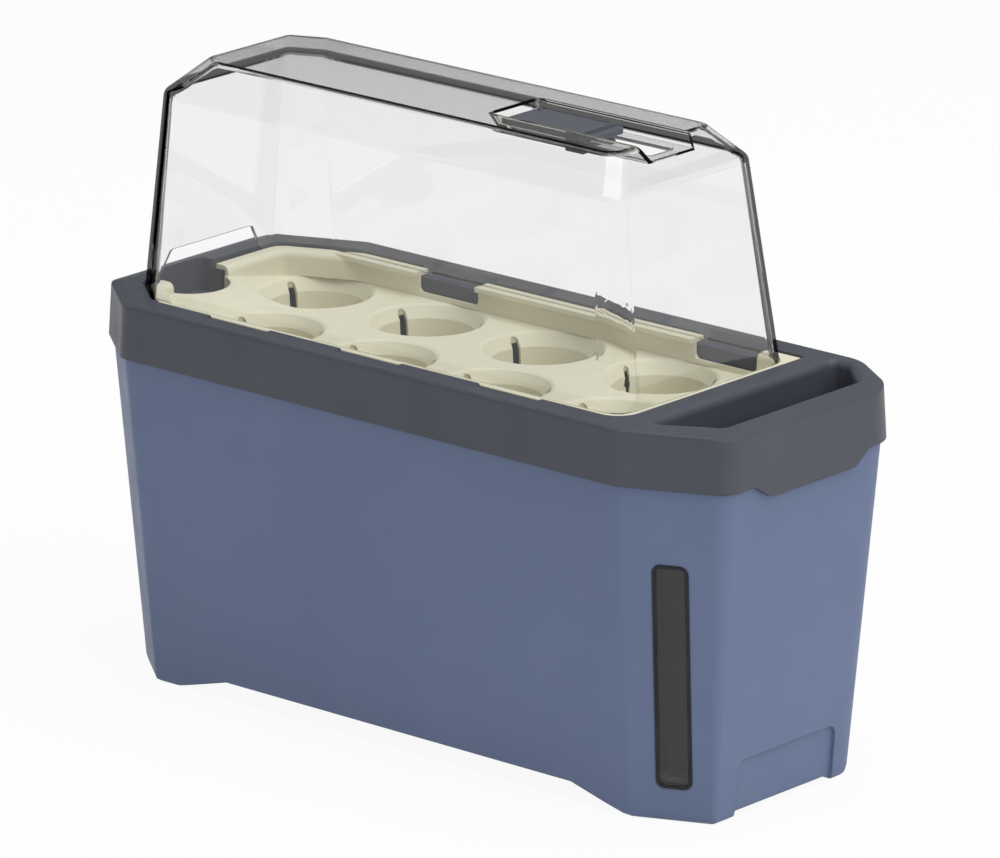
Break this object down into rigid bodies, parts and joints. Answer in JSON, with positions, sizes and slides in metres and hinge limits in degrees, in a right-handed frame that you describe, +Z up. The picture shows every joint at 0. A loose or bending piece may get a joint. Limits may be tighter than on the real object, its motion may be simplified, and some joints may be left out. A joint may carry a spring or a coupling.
{
  "type": "herb pot",
  "caption": "Self-watering herb planter: leaning tub with a collar, a lift-out seed tray, a clear lift-off dome with a sliding vent, a fill trough and a water level window.",
  "frame": {"origin": "middle of the pot's plan, at the level of the feet", "axes": "+X along the pot to the fill trough's end, +Y to the back, +Z up"},
  "size_m": [0.4038, 0.167, 0.3105],
  "materials": {
    "tub_plastic": "satin moulded, dusty blue",
    "collar_plastic": "satin moulded, anthracite",
    "tray_plastic": "satin moulded, cream",
    "clear_plastic": "clear, glossy",
    "slider_plastic": "satin moulded, blue grey",
    "gasket_rubber": "matt",
    "window_plastic": "smoked, glossy",
    "guide_plastic": "matt moulded, dark grey",
    "float_plastic": "matt moulded, off-white"
  },
  "bodies": {
    "pot": {"planter_body": "tub_plastic", "rim_collar": "collar_plastic", "window_gasket": "gasket_rubber", "sight_window": "window_plastic", "float_guide": "guide_plastic"},
    "tray": {"seed_tray": "tray_plastic"},
    "dome": {"dome_cover": "clear_plastic"},
    "vent": {"vent_slider": "slider_plastic"},
    "float": {"level_float": "float_plastic"}
  },
  "joints": [
    {"name": "tray_lift", "type": "slide", "parent": "pot", "child": "tray", "axis": [0, 0, 1], "range_m": [0, 0.12]},
    {"name": "dome_lift", "type": "slide", "parent": "tray", "child": "dome", "axis": [0, 0, 1], "range_m": [0, 0.15]},
    {"name": "vent_slide", "type": "slide", "parent": "dome", "child": "vent", "axis": [1, 0, 0], "range_m": [0, 0.038]},
    {"name": "float_rise", "type": "slide", "parent": "pot", "child": "float", "axis": [0.0328, -0.0746, 0.9967], "range_m": [0, 0.105]}
  ]
}
